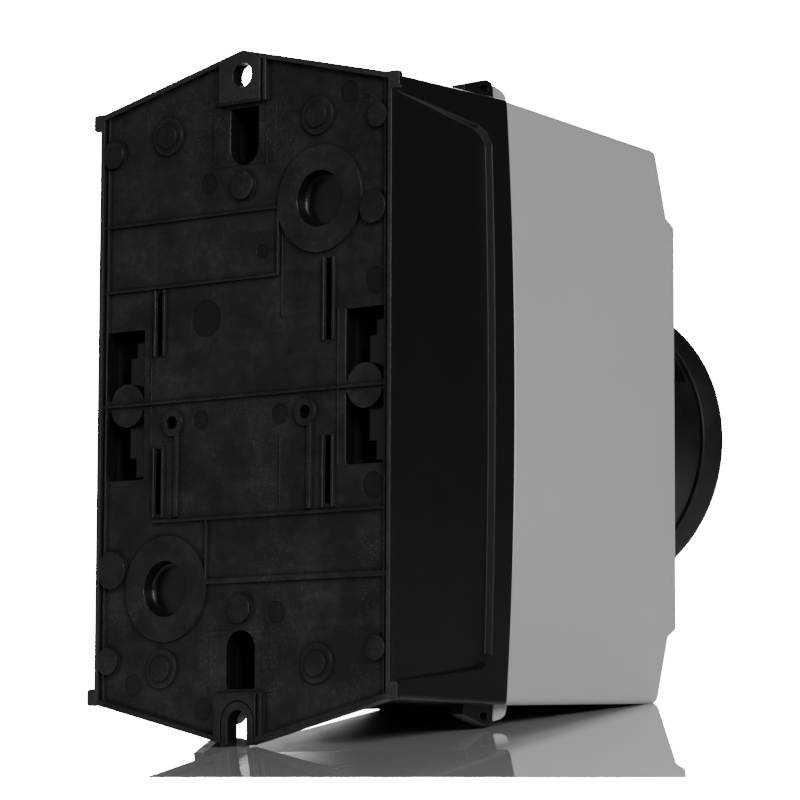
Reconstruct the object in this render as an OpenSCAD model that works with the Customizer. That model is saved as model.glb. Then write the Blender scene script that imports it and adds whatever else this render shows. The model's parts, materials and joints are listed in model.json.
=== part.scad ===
// Enclosed rotary isolator switch, in millimetres.
// X runs across the enclosure, Z along its height, and the wall it is fixed to is the plane Y = 0.
// The front faces -Y, so a depth of 40 is Y = -40. The origin lies midway between the wall fixings.

/* [Enclosure] */
// Width of the base at the wall
back_w = 101; // [97:0.5:104]
// Height of the base at the wall, corner to corner
back_h = 161; // [157:0.5:170]
// How far the pointed ends stand above and below the corners
gable_h = 12.2; // [11:0.1:16]
// Depth of the base at its corners
base_d = 49; // [46:0.5:56]
// How much further forward the seam lies at mid height
seam_bow = 3.6; // [2:0.1:5]
// Widening of the base on each side from the wall to the seam
base_draft = 1; // [0.5:0.1:2]
// Growth of the base at each end from the wall to the seam
end_draft = 0.5; // [0.3:0.1:1]
// Depth from the wall to the front of the raised band
front_d = 133.8; // [130:0.2:150]
// Narrowing of the cover on each side from the seam to the front
cover_draft = 2.8; // [1:0.1:3.5]
// Wall of the base
base_wall = 3; // [2.4:0.1:3.4]
// Wall of the cover
cover_wall = 2.6; // [2:0.1:3.2]
// Radius of the upright corners
corner_r = 3; // [2:0.1:4]
// Height of the raised band on the cover's front
band_h = 114.6; // [100:0.2:124]
// Height of the bevel between the band and the sloped ends
band_bevel = 2.4; // [1:0.1:4]
// Depth lost between the band and the sloped ends
band_step = 4.2; // [2:0.1:6]
// Further depth lost down each sloped end
end_slope = 6; // [3:0.1:8]
// Gap between the base and the cover at the seam
seam_gap = 0.4; // [0.3:0.05:0.8]

/* [Rear face] */
// Width of the rim round the rear face
rim_w = 1.3; // [1:0.1:2]
// How deep the panel lies behind the rim
panel_sink = 1.3; // [0.9:0.1:1.6]
// Thickness of the floor behind the panel
floor_t = 3; // [2.4:0.1:3.6]
// Thickness of the pointed ends
flange_t = 4; // [3:0.1:5]
// Width of the raised ribs
rib_w = 0.7; // [0.6:0.1:1.4]
// Depth of the moulded pockets
pocket_d = 9; // [7:0.5:9.5]
// Wall round each moulded pocket
pocket_wall = 1.6; // [1.2:0.1:2]
// Height of the wall windows
window_h = 18.8; // [17:0.2:19.4]
// Width of the wall windows
window_w = 13; // [11:0.2:13.4]
// Radius of the rear cable knock-outs
knockout_r = 14.2; // [12:0.1:14.6]
// Radius of the dished centre in each rear knock-out
dish_r = 7.5; // [6:0.1:9]
// Depth of that dish
dish_t = 3.9; // [2.4:0.1:4.6]

/* [Wall fixings] */
// Distance between the two wall fixings
fixing_pitch = 172; // [170:0.5:174]
// Radius of the fixing hole and half the width of the open slot
fixing_r = 3.3; // [2.6:0.1:3.5]
// Half width of the inner fixing slots
inner_slot_r = 4.9; // [4:0.1:5.2]
// Length of the inner fixing slots
inner_slot_l = 15.5; // [13:0.5:16]

/* [Handle] */
// Radius of the handle collar
collar_r = 40.6; // [38:0.1:42]
// Length of the handle collar in front of the cover
collar_l = 25.6; // [20:0.2:30]
// Wall of the handle collar
collar_wall = 3.4; // [3:0.1:4]
// Radius of the dial ring
dial_r = 43.4; // [42:0.1:45]
// Thickness of the dial ring
dial_t = 7.6; // [5:0.1:8]
// Radius of the turning part of the handle
knob_r = 32.4; // [30:0.1:33]
// Height of the grip above the dial ring
grip_h = 15.4; // [12:0.2:18]
// Half length of the grip
grip_l = 28.6; // [24:0.1:29]
// Thickness of the grip
grip_t = 13; // [12:0.2:16]
// Travel of the padlock slide
slide_travel = 7; // [5:0.5:8]
// Radius of the padlock hole
shackle_r = 3; // [2.4:0.1:3.2]
// Side of the square shaft
shaft_sq = 7; // [6:0.1:8]
// Turn from off to on, in degrees
switch_turn = 90; // [90:90]

/* [Switch] */
// Width of the contact decks
deck_w = 57; // [56:0.5:62]
// Height of the contact decks
deck_h = 56; // [54:0.5:60]
// Thickness of each contact deck
deck_t = 14; // [13:0.2:16]
// Number of contact decks
deck_count = 2; // [2:2]
// Depth at which the switch foot starts
foot_d = 14; // [13:0.2:18]
// Thickness of the switch foot
foot_t = 3; // [2.4:0.1:4]
// Height of the pad between the foot and the first deck
foot_pad = 3.4; // [3:0.1:5]
// Thickness of the latch housing
latch_t = 13; // [12:0.2:16]
// Thickness of the front plate
plate_t = 3; // [2.4:0.1:4]
// Largest radius of the cams
cam_r = 11; // [10:0.1:11.6]
// Opening travel of the contacts
contact_travel = 2.6; // [2:0.1:3]
// Gap between a cam and the tip of its carrier
cam_gap = 0.25; // [0.2:0.05:0.4]
// Distance from the shaft to each contact tip, up and down
tip_z = 14.5; // [14:0.1:16]
// Radius of the contact tips
tip_r = 2; // [1.5:0.1:2.4]
// Thickness of the contact bridges and strips
strip_t = 1.2; // [1:0.1:1.6]

/* [Hidden] */
$fn = 64;

// Colours of the real materials
black_plastic = [0.05, 0.05, 0.055];
grey_plastic = [0.62, 0.62, 0.6];
dark_rubber = [0.09, 0.09, 0.09];
zinc_steel = [0.72, 0.73, 0.75];
spring_steel = [0.5, 0.51, 0.53];
copper = [0.78, 0.46, 0.3];
brass = [0.8, 0.66, 0.35];
deck_plastic = [0.16, 0.16, 0.17];
cam_plastic = [0.85, 0.82, 0.72];

// A little more than nothing, so that cuts run past the faces they open
eps = 0.02;
// Gap between curved faces that pass or lie beside each other
near_gap = 0.3;
// Radial gap of a shaft that runs in a hole
run_gap = 0.05;

// The enclosure's derived sizes
half_w = back_w / 2;
half_h = back_h / 2;
seam_half_w = half_w + base_draft;
seam_half_h = half_h + end_draft;
front_half_w = seam_half_w - cover_draft;
front_half_h = seam_half_h - cover_draft;
bow_r = (half_h * half_h + seam_bow * seam_bow) / (2 * seam_bow);
floor_d = panel_sink + floor_t;
base_corner_r = 1;
band_d = front_d - band_step;
end_d = band_d - end_slope;
inner_front_d = front_d - cover_wall;
fixing_z = fixing_pitch / 2;

// The cover screws and the posts they run in
screw_x = half_w - 8.2;
screw_z = half_h - 8.2;
cover_screw_r = 1.9;
cover_head_r = 3.6;
cover_head_t = 3;
post_r = 4.4;
post_top_d = base_d - 6;
screw_seat_d = end_d - 10;
tower_r = 5.8;

// The tongue of the cover inside the base, and the gasket
tongue_t = 1.6;
tongue_l = 4;
gasket_w = 1.3;
gasket_sink = 1.3;
gasket_inset = 0.9;

// The seal lugs beside the corners
lug_x = half_w - 5.5;
lug_t = 4;
lug_h = 5.4;
lug_len = 13;
cover_lug_h = 4.5;
cover_lug_len = 6.6;
lug_eye_r = 0.95;
lug_eye_l = 3.6;
lug_eye_d = base_d - 4;
lug_eye_z = seam_half_h + 2.9;

// The handle and its shaft
collar_front_d = front_d + collar_l;
collar_lip = 0.8;
dial_back_d = collar_front_d + collar_lip;
dial_front_d = dial_back_d + dial_t;
sleeve_r = 9;
seal_w = 1.6;
seal_t = 1.2;
collar_base_t = 3;
collar_screw_ring = 27;
knob_face_d = dial_front_d + 1.6;
grip_front_d = dial_front_d + grip_h;
slide_d = knob_face_d + 2.2;
slide_h = 8.6;
slide_t = 3.2;
slide_gap = 0.25;
slide_end_x = -9;
slide_mid_d = slide_d + slide_h / 2;
shackle_x = -grip_l + 8;
post_thick = 2.6;
post_high = 8;
post_near_x = -knob_r - 1.4;
post_far_x = -knob_r - 5;
shaft_front_d = dial_back_d;
shaft_half = shaft_sq / 2;
socket_gap = 0.1;

// The switch stack, from the foot forward
pad_d = foot_d + foot_t;
deck_d = pad_d + foot_pad;
latch_d = deck_d + deck_count * deck_t;
plate_d = latch_d + latch_t;
stack_front_d = plate_d + plate_t;
coupler_d = stack_front_d + 1;
coupler_l = 16;
coupler_r = 8;
deck_floor = 2;
deck_half_w = deck_w / 2;
deck_half_h = deck_h / 2;
bolt_x = deck_half_w - 3.4;
bolt_z = deck_half_h - 6;
bolt_r = 1.6;
bolt_hole_r = 1.75;
cam_low_r = cam_r - contact_travel;
cam_t = 8;
deck_mid = deck_floor + (deck_t - deck_floor) / 2;
carrier_x = cam_r + cam_gap;
carrier_tip_r = 1.6;
carrier_body_x = carrier_x + 2.4;
carrier_l = 5.6;
carrier_half_z = 4;
carrier_t = 7.4;
bridge_x = carrier_body_x + 1.6;
bridge_half_d = 2.2;
bridge_half_z = tip_z + 2.6;
tip_t = 0.8;
tip_face_x = bridge_x - tip_t;
closed_gap = 0.1;
fixed_tip_x = tip_face_x - contact_travel - closed_gap;
strip_x = fixed_tip_x - tip_t - strip_t;
strip_half_d = 2;
spring_x = carrier_body_x + carrier_l;
spring_end_x = deck_half_w - 1.8;
spring_r = 2.6;
spring_wire = 0.45;
spring_turns = 4;
terminal_t = 1.2;
terminal_half = 4.2;
clamp_t = 1.4;
terminal_screw_r = 1.7;
terminal_head_r = 3.2;
terminal_head_t = 2.6;
terminal_shank = 9;
wheel_r = 9.2;
wheel_notch = 0.8;
wheel_t = 7;
stop_t = 3.4;
stop_r = 13.4;
stop_half_angle = 15;
stop_play = 0.6;
leaf_t = 0.6;
leaf_w = 6;

// The earth and neutral bars on their posts
bar_x = 25;
bar_z = -59.5;
bar_w = 18;
bar_h = 9;
bar_d = floor_d + 4;
bar_post = 6;
bar_screw_r = 1.75;
bar_hole_x = 5.4;
bar_hole_r = 2.4;
wire_screw_r = 1.6;

// Places on the rear face, seen from the front: X to the right, Z up
foot_screw_x = [24.3, -21.6];
foot_screw_z = -5.7;
foot_screw_r = 1.8;
foot_boss_r = 4.4;
foot_ring_r = 3.6;
window_side = 2.7;
window_x = half_w - window_side - window_w;
window_z = 1.5;
window_disc_x = window_x + 6.2;
window_disc_r = 5.9;
slot_x = 29.2;
slot_half = 1.15;
knockout_x = 26.1;
knockout_z = 50.1;
fine_rib = 0.5;
fine_rise = 0.2;
field_rise = 0.1;
low_rise = 0.7;
low_d = panel_sink - low_rise;
dish_round = 1.1;
dish_draft = 0.2;
dish_skin = 1.2;
step_discs = [[26.7, 72.3], [-25.2, 72.3], [27.2, -71.4], [-25.9, -71.2]];
step_disc_r = 5.2;
step_top_r = 3.3;
lug_half_w = 7.2;
lug_shift = 1;
lug_edge_z = fixing_z - 7.7;
lug_groove = 0.9;
lug_rib = 1.1;
slot_land = 1;
end_knockouts = [16, 12.5];
end_knockout_x = 23;
arch_r = 5.6;
arch_w = 0.4;
arch_t = 0.4;
slot_end_z = lug_edge_z - slot_land;
field_z = lug_edge_z - 16.5;

// An outline drawn in X and Z, made solid between two depths
module slab(d0, d1) {
    translate([0, -d0, 0]) rotate([90, 0, 0]) linear_extrude(d1 - d0) children();
}

// A box given by its limits across, in depth and in height
module block(x0, x1, d0, d1, z0, z1) {
    translate([x0, -d1, z0]) cube([x1 - x0, d1 - d0, z1 - z0]);
}

// A round bar along the depth
module rod(x, z, d0, d1, r) {
    translate([x, -d0, z]) rotate([90, 0, 0]) cylinder(h = d1 - d0, r = r);
}

// An outline drawn in depth and height, made solid between two places across
module across(x0, x1) {
    translate([x0, 0, 0]) rotate([90, 0, 90]) linear_extrude(x1 - x0) mirror([1, 0]) children();
}

// A profile of radius and depth, turned round the shaft's axis
module turned() {
    rotate([90, 0, 0]) rotate_extrude($fn = 96) children();
}

// A rectangle with round corners, centred
module round_rect(w, h, r) {
    square([w - 2 * r, h], center = true);
    square([w, h - 2 * r], center = true);
    for (sx = [-1, 1], sz = [-1, 1]) translate([sx * (w / 2 - r), sz * (h / 2 - r)]) circle(r);
}

// A rectangle given by its limits
module patch(x0, x1, z0, z1) {
    translate([x0, z0]) square([x1 - x0, z1 - z0]);
}

// A disc at a place
module disc(x, z, r) {
    translate([x, z]) circle(r);
}

// The rear outline with its pointed ends, drawn in by an inset
module gable_outline(inset) {
    w = half_w - inset;
    h = half_h - inset;
    polygon([[w, -h], [w, h], [0, h + gable_h], [-w, h], [-w, -h], [0, -h - gable_h]]);
}

// A box that widens or narrows evenly from one depth to another
module tapered_box(d0, w0, h0, d1, w1, h1, r) {
    hull() {
        slab(d0, d0 + eps) round_rect(w0, h0, r, $fn = 32);
        slab(d1 - eps, d1) round_rect(w1, h1, r, $fn = 32);
    }
}

// Everything behind the bowed seam surface, moved forward by a shift
module behind_seam(shift) {
    centre_d = base_d + seam_bow - bow_r + shift;
    translate([-back_w, -centre_d, 0]) rotate([0, 90, 0]) cylinder(h = 2 * back_w, r = bow_r, $fn = 720);
}

// The raised parts of the rear panel that reach the rim's own height
module panel_full_height() {
    // The lugs round the wall fixings, and the rib beside each
    for (s = [-1, 1]) {
        z0 = min(s * lug_edge_z, s * (half_h + gable_h));
        z1 = max(s * lug_edge_z, s * (half_h + gable_h));
        patch(lug_shift - lug_half_w, lug_shift + lug_half_w, z0, z1);
        rib_x = lug_shift - lug_half_w - lug_groove - lug_rib;
        patch(rib_x, rib_x + lug_rib, z0, z1);
    }
    // Plain support discs
    disc(half_w - 4.3, 69.3, 3.8);
    disc(-half_w + 4.9, 70, 3.2);
    disc(half_w - 4.3, -69, 3.6);
    disc(-half_w + 4.9, -67.7, 3.2);
    disc(-half_w + 6.3, 46, 4.2);
    disc(half_w - 5.3, -44.5, 5);
    for (s = [-1, 1]) disc(0, s * 56.2, 3.8);
    // Stepped support discs
    for (p = step_discs) disc(p[0], p[1], step_top_r);
}

// The raised parts of the rear panel that stay lower than the rim
module panel_half_height() {
    for (p = step_discs) disc(p[0], p[1], step_disc_r);
    for (s = [-1, 1]) {
        disc(-s * knockout_x, s * knockout_z, knockout_r);
        // The floor of the groove beside each fixing lug
        z0 = min(s * lug_edge_z, s * (half_h + gable_h));
        groove_x = lug_shift - lug_half_w - lug_groove;
        patch(groove_x, groove_x + lug_groove, z0, z0 + half_h + gable_h - lug_edge_z);
    }
    // Upper field, open to the left rim
    patch(-12.4, half_w, 49.3 - rib_w / 2, 49.3 + rib_w / 2);
    patch(-12.4, half_w, 31.3 - rib_w / 2, 31.3 + rib_w / 2);
    patch(-12.4, -12.4 + rib_w, 31.3, 49.3);
    // Middle rib
    patch(-half_w, half_w, -rib_w / 2, rib_w / 2);
    // Lower field, open to the right rim
    patch(-half_w, 31, -32.3, -32.3 + rib_w);
    patch(12.4 - rib_w, 12.4, -49.6, -32);
    patch(-half_w, 12.4, -49.4, -48);
    // Rings and beads at the foot screws
    for (x = foot_screw_x) disc(x, foot_screw_z, foot_ring_r);
    patch(22.1, 23.5, -31, -8.5);
    patch(-23.7, -22.3, -31, -8.5);
    // Lips beside the narrow slots
    for (sx = [-1, 1], side = [-1, 1]) {
        x = sx * slot_x + side * (slot_half + 0.5);
        patch(x - 0.4, x + 0.4, -31, -12);
        patch(x - 0.4, x + 0.4, 12.5, sx > 0 ? 30.6 : 34.5);
    }
    // Thin ribs beside the rims
    for (s = [-1, 1]) patch(s * (half_w - 2.5) - 0.35, s * (half_w - 2.5) + 0.35, -half_h, half_h);
}

// Thin lines that stand just above the panel
module panel_fine_lines() {
    for (s = [-1, 1]) patch(s * 32.2 - fine_rib / 2, s * 32.2 + fine_rib / 2, -20, 21);
    patch(-13.3 - fine_rib / 2, -13.3 + fine_rib / 2, 20, 44);
    patch(-12.9 - fine_rib / 2, -12.9 + fine_rib / 2, -29, -11);
    // The ribs beside the fixing lugs run on as a fine line
    for (s = [-1, 1]) {
        z0 = min(s * 61, s * lug_edge_z);
        line_x = lug_shift - lug_half_w - lug_groove - lug_rib / 2;
        patch(line_x - fine_rib / 2, line_x + fine_rib / 2, z0, z0 + lug_edge_z - 61);
    }
}

// Fields round the inner slots, a hair above the panel
module panel_fields() {
    for (s = [-1, 1]) {
        z0 = min(s * field_z, s * lug_edge_z);
        patch(-11, 11, z0, z0 + lug_edge_z - field_z);
    }
}

// Round marks that the ejector pins leave, sunk a hair into the panel
module ejector_marks() {
    marks = [
        [12.5, 58, 2.8], [-12, -57.5, 3], [12.7, -82.3, 3], [-6.5, 38, 2], [14.5, -5.5, 2.5],
        [-12.7, -5.5, 2.7], [37.5, -75.5, 3], [-44.5, 27, 3.5], [-44, -26, 3.5], [13, 21.7, 5],
        [-35.5, 77.3, 3]
    ];
    for (m = marks) rod(m[0], m[1], panel_sink - eps, panel_sink + 0.15, m[2]);
}

// The outline of the inner fixing slots, round at the end towards the middle
module inner_slot() {
    for (s = [-1, 1]) {
        z_round = s * (slot_end_z - inner_slot_l + inner_slot_r);
        disc(0, z_round, inner_slot_r);
        patch(-inner_slot_r, inner_slot_r, min(z_round, s * slot_end_z), max(z_round, s * slot_end_z));
    }
}

// An arch over the lower fixing, open downward
module lower_arch(r) {
    disc(0, -fixing_z, r);
    patch(-r, r, -half_h - gable_h, -fixing_z);
}

// The four windows near the sides
module windows() {
    for (sx = [-1, 1], sz = [-1, 1]) {
        x0 = sx > 0 ? window_x : -window_x - window_w;
        z0 = sz > 0 ? window_z : -window_z - window_h;
        patch(x0, x0 + window_w, z0, z0 + window_h);
    }
}

// The narrow slots
module narrow_slots() {
    for (sx = [-1, 1]) {
        patch(sx * slot_x - slot_half, sx * slot_x + slot_half, 12.7, sx > 0 ? 30 : 34.2);
        patch(sx * slot_x - slot_half, sx * slot_x + slot_half, -30, -12.3);
    }
}

// Walls that close the pockets on the inside
module pocket_bosses() {
    t = pocket_wall;
    slab(panel_sink + eps, pocket_d + t) {
        for (sx = [-1, 1], sz = [-1, 1]) {
            x0 = sx > 0 ? window_x : -window_x - window_w;
            z0 = sz > 0 ? window_z : -window_z - window_h;
            patch(x0 - t, x0 + window_w + t, z0 - t, z0 + window_h + t);
            patch(sx * slot_x - slot_half - t, sx * slot_x + slot_half + t, sz > 0 ? 11 : -31.6,
                sz > 0 ? 35.8 : -10.7);
        }
        for (s = [-1, 1]) {
            z0 = min(s * (slot_end_z - inner_slot_l - t), s * (slot_end_z + t));
            patch(-inner_slot_r - t, inner_slot_r + t, z0, z0 + inner_slot_l + 2 * t);
        }
    }
    for (s = [-1, 1]) rod(-s * knockout_x, s * knockout_z, panel_sink + eps, low_d + dish_t + dish_skin,
        dish_r + dish_skin);
    for (x = foot_screw_x) rod(x, foot_screw_z, panel_sink, foot_d, foot_boss_r);
    for (sx = [-1, 1]) rod(sx * 15, 20, panel_sink + eps, foot_d, 3.4);
}

// Stepped ledges inside the windows, on the wall towards the near side
module window_ledges() {
    for (sx = [-1, 1], sz = [-1, 1]) {
        x0 = sx > 0 ? window_x : -window_x - window_w;
        slab(4, pocket_d + eps) {
            patch(x0 - eps, x0 + 7.2, sz > 0 ? 2 : -14.2, sz > 0 ? 13.2 : -5);
            patch(x0 - eps, x0 + 5, sz > 0 ? 2 : -19.4, sz > 0 ? 17.3 : -5);
        }
    }
}

// The flat sunk panel on each side wall: its outline in depth and height
module side_panel_outline(grow) {
    z_rear = half_h - 4.4 + grow;
    z_front = half_h - 9.2 + grow;
    d_front = base_d - 7.8 + grow;
    bend = 4;
    steps = 12;
    polygon(concat(
        [[1.2 - grow, -z_rear], [d_front - bend - 0.6, -z_front]],
        [for (i = [0:4]) let (a = -90 + i * 20)
            [d_front - bend + bend * cos(a), -z_front + bend + 0.6 + bend * sin(a)]],
        [for (i = [0:steps]) let (z = (2 * i / steps - 1) * (z_front - bend))
            [d_front + seam_bow * 0.6 * (1 - pow(z / half_h, 2)), z]],
        [for (i = [0:4]) let (a = 10 + i * 20)
            [d_front - bend + bend * cos(a), z_front - bend - 0.6 + bend * sin(a)]],
        [[d_front - bend - 0.6, z_front], [1.2 - grow, z_rear]]
    ));
}

// The cut that sinks both side panels, with a sloped wall round each
module side_panels() {
    lean = atan(base_draft * 1.1 / base_d);
    wall_slope = 0.9;
    for (s = [-1, 1]) mirror([s > 0 ? 1 : 0, 0, 0]) hull() {
        translate([-half_w, 0, 0]) rotate([0, 0, lean]) across(-eps, 0) side_panel_outline(0);
        translate([-seam_half_w, 0, 0]) across(-eps, 0) side_panel_outline(wall_slope);
        translate([-seam_half_w - 2, 0, 0]) across(-eps, 0) side_panel_outline(wall_slope);
    }
}

// Round tabs that stand out at the four rear corners
module corner_tabs() {
    tab_out = 2.5;
    tab_w = 6;
    tab_h = 4.6;
    tab_rise = 0.4;
    tab_t = 1.4;
    tab_r = 0.9;
    for (sx = [0, 1], sz = [0, 1]) mirror([sx, 0, 0]) mirror([0, 0, sz]) slab(0, tab_t)
        translate([half_w + tab_out - tab_w / 2, half_h + tab_rise - tab_h / 2])
            round_rect(tab_w, tab_h, tab_r);
}

// One seal lug on the base, standing on the top wall
module base_lug() {
    top = seam_half_h + lug_h;
    rear = base_d - lug_len;
    eye_reach = lug_eye_l / 2 - lug_eye_r;
    difference() {
        across(-lug_t / 2, lug_t / 2) polygon([
            [rear, half_h - 2], [rear, seam_half_h + lug_h / 2], [rear + 7, top - 0.7], [base_d - 3, top],
            [base_d - 1, top - 0.4], [base_d, top - 1.6], [base_d, half_h - 2]
        ]);
        across(-lug_t, lug_t) {
            for (s = [-1, 1]) translate([lug_eye_d + s * eye_reach, lug_eye_z]) circle(lug_eye_r);
            patch(lug_eye_d - eye_reach, lug_eye_d + eye_reach, lug_eye_z - lug_eye_r,
                lug_eye_z + lug_eye_r);
        }
    }
}

// The matching lug on the cover
module cover_lug() {
    top = seam_half_h + cover_lug_h;
    rear = base_d + seam_gap;
    front = base_d + cover_lug_len;
    across(-lug_t / 2, lug_t / 2) polygon([
        [rear, seam_half_h - 1.5], [rear, top - 0.3], [front - 3, top - 1], [front - 1.2, top - 2],
        [front, seam_half_h - 0.4], [front, seam_half_h - 1.5]
    ]);
}

// Places one copy at each of the four seal lugs
module at_lugs() {
    for (sx = [-1, 1], sz = [0, 1]) mirror([0, 0, sz]) translate([sx * lug_x, 0, 0]) children();
}

module base_housing() {
    color(black_plastic) difference() {
        union() {
            difference() {
                union() {
                    tapered_box(0, back_w, back_h, base_d + seam_bow + 4,
                        2 * seam_half_w + 0.16 * base_draft,
                        2 * seam_half_h + 0.16 * end_draft, base_corner_r);
                    slab(0, flange_t) gable_outline(0);
                }
                tapered_box(floor_d, back_w - 2 * base_wall, back_h - 2 * base_wall,
                    base_d + seam_bow + 5,
                    2 * (seam_half_w - base_wall), 2 * (seam_half_h - base_wall), corner_r);
                side_panels();
            }
            intersection() {
                union() {
                    pocket_bosses();
                    for (sx = [-1, 1], sz = [-1, 1]) {
                        rod(sx * screw_x, sz * screw_z, panel_sink, post_top_d, post_r);
                        block(sx > 0 ? screw_x : -half_w + 1, sx > 0 ? half_w - 1 : -screw_x, panel_sink,
                            post_top_d, sz * screw_z - 1, sz * screw_z + 1);
                    }
                    for (s = [-1, 1]) block(s * bar_x - bar_post, s * bar_x + bar_post, panel_sink, bar_d,
                        bar_z - bar_h / 2 - 1, bar_z + bar_h / 2 + 1);
                }
                slab(0, base_d) square([back_w - 2, back_h - 2], center = true);
            }
            corner_tabs();
            at_lugs() base_lug();
        }
        // The rear panel, sunk behind its rim and ribs
        slab(-eps, panel_sink) difference() {
            gable_outline(rim_w);
            panel_full_height();
            panel_half_height();
            panel_fine_lines();
            panel_fields();
        }
        slab(-eps, low_d) difference() {
            panel_half_height();
            panel_full_height();
            difference() {
                gable_outline(0);
                gable_outline(rim_w);
            }
        }
        slab(-eps, panel_sink - fine_rise) difference() {
            panel_fine_lines();
            panel_full_height();
            panel_half_height();
        }
        slab(-eps, panel_sink - field_rise) difference() {
            panel_fields();
            panel_full_height();
            panel_half_height();
            panel_fine_lines();
        }
        ejector_marks();
        // Pockets, with the ledges left standing in the windows
        difference() {
            slab(-eps, pocket_d) difference() {
                windows();
                for (s = [-1, 1]) disc(s * window_disc_x, 0, window_disc_r);
            }
            window_ledges();
        }
        slab(-eps, pocket_d) {
            narrow_slots();
            inner_slot();
        }
        // Rear knock-outs: a dished centre and a groove inside, with a thin skin between them
        for (s = [-1, 1]) translate([-s * knockout_x, 0, s * knockout_z]) {
            turned() polygon(concat([[0, -eps], [dish_r, -eps], [dish_r, low_d]], [for (a = [0:15:90]) [
                dish_r - dish_draft - dish_round * (1 - cos(a)),
                low_d + dish_t - dish_round * (1 - sin(a))
            ]], [[0, low_d + dish_t]]));
            turned() translate([knockout_r - 0.7, floor_d - 0.8]) square([0.7, 2]);
        }
        // Wall fixings: a round hole above, an open slot with a thin arch line below
        rod(0, fixing_z, -eps, flange_t + 2, fixing_r);
        rod(0, -fixing_z, -eps, flange_t + 2, fixing_r);
        slab(-eps, flange_t + 2) patch(-fixing_r, fixing_r, -half_h - gable_h - 2, -fixing_z);
        slab(-eps, arch_t) difference() {
            lower_arch(arch_r + arch_w / 2);
            lower_arch(arch_r - arch_w / 2);
        }
        // Screw holes
        for (x = foot_screw_x) rod(x, foot_screw_z, -eps, foot_d + eps, foot_screw_r);
        for (sx = [-1, 1], sz = [-1, 1]) {
            rod(sx * screw_x, sz * screw_z, floor_d + 3, post_top_d + eps, cover_screw_r + run_gap);
        }
        for (s = [-1, 1]) rod(s * bar_x, bar_z, floor_d, bar_d + eps, bar_screw_r + run_gap);
        // Cable knock-outs in the top and bottom walls
        for (sx = [-1, 1], sz = [-1, 1], r = end_knockouts) {
            translate([sx * end_knockout_x, -base_d / 2, sz * half_h]) difference() {
                cylinder(h = 1.2, r = r, center = true);
                cylinder(h = 2, r = r - 0.6, center = true);
            }
        }
        // The front, cut to the bowed seam
        difference() {
            block(-back_w, back_w, base_d - 12, base_d + 40, -back_h, back_h);
            behind_seam(0);
        }
    }
}

// The cover's outline in depth and height, drawn in by an inset
module cover_profile(inset) {
    z_band = band_h / 2;
    low_half = [
        [0, -back_h], [end_d - inset, -back_h], [end_d - inset, -front_half_h],
        [band_d - inset, -z_band - band_bevel], [front_d - inset, -z_band]
    ];
    polygon(concat(low_half, [for (i = [len(low_half) - 1:-1:0]) [low_half[i][0], -low_half[i][1]]]));
}

// A ring that follows the seam, between two distances in from its outer edge
module seam_ring(inset, w) {
    difference() {
        round_rect(2 * (seam_half_w - inset), 2 * (seam_half_h - inset), corner_r);
        round_rect(2 * (seam_half_w - inset - w), 2 * (seam_half_h - inset - w), corner_r);
    }
}

module cover() {
    tongue_out = base_wall + near_gap;
    rear_d = base_d - tongue_l;
    color(grey_plastic) difference() {
        union() {
            difference() {
                intersection() {
                    tapered_box(base_d - 1, 2 * seam_half_w, 2 * seam_half_h, front_d, 2 * front_half_w,
                        2 * front_half_h, corner_r - 1);
                    across(-back_w, back_w) cover_profile(0);
                }
                difference() {
                    intersection() {
                        tapered_box(base_d - 2, 2 * (seam_half_w - cover_wall),
                            2 * (seam_half_h - cover_wall), front_d + 1, 2 * (front_half_w - cover_wall),
                            2 * (front_half_h - cover_wall), corner_r);
                        across(-back_w, back_w) cover_profile(cover_wall);
                    }
                    // The thick root that carries the tongue
                    slab(base_d - 2, base_d + seam_bow + 3) difference() {
                        square([2 * back_w, 2 * back_h], center = true);
                        round_rect(2 * (seam_half_w - tongue_out - tongue_t),
                            2 * (seam_half_h - tongue_out - tongue_t), corner_r);
                    }
                }
                behind_seam(seam_gap);
            }
            // The tongue that reaches into the base
            difference() {
                slab(rear_d, base_d + seam_bow + 2) seam_ring(tongue_out, tongue_t);
                behind_seam(-tongue_l);
            }
            // Towers for the cover screws
            intersection() {
                at_cover_screws() rod(0, 0, base_d - 2, front_d, tower_r);
                across(-back_w, back_w) cover_profile(0);
                tapered_box(base_d - 2, 2 * (seam_half_w - tongue_out), 2 * (seam_half_h - tongue_out),
                    front_d, 2 * front_half_w - 1, 2 * front_half_h - 1, corner_r);
            }
            at_lugs() cover_lug();
        }
        // The groove that holds the gasket
        difference() {
            slab(base_d - 4, base_d + seam_bow + 4) seam_ring(gasket_inset, gasket_w);
            difference() {
                block(-back_w, back_w, 0, front_d, -back_h, back_h);
                behind_seam(seam_gap + gasket_sink);
            }
        }
        at_cover_screws() {
            rod(0, 0, base_d - 5, front_d, cover_screw_r + near_gap);
            rod(0, 0, screw_seat_d, front_d, cover_head_r + near_gap);
        }
        // The hole for the handle's sleeve and the holes for the collar's screws
        rod(0, 0, inner_front_d - 2, front_d + eps, sleeve_r + near_gap);
        rod(0, 0, front_d - seal_t, front_d + eps, sleeve_r + near_gap + seal_w + run_gap);
        at_collar_screws() rod(0, 0, inner_front_d - 2, front_d + eps, 1.8);
    }
}

module cover_gasket() {
    color(dark_rubber) intersection() {
        slab(base_d - 6, base_d + seam_bow + 4) seam_ring(gasket_inset, gasket_w);
        difference() {
            behind_seam(seam_gap + gasket_sink);
            behind_seam(0);
        }
    }
}

// Places one copy at each of the four cover screws
module at_cover_screws() {
    for (sx = [-1, 1], sz = [-1, 1]) translate([sx * screw_x, 0, sz * screw_z]) children();
}

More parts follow.
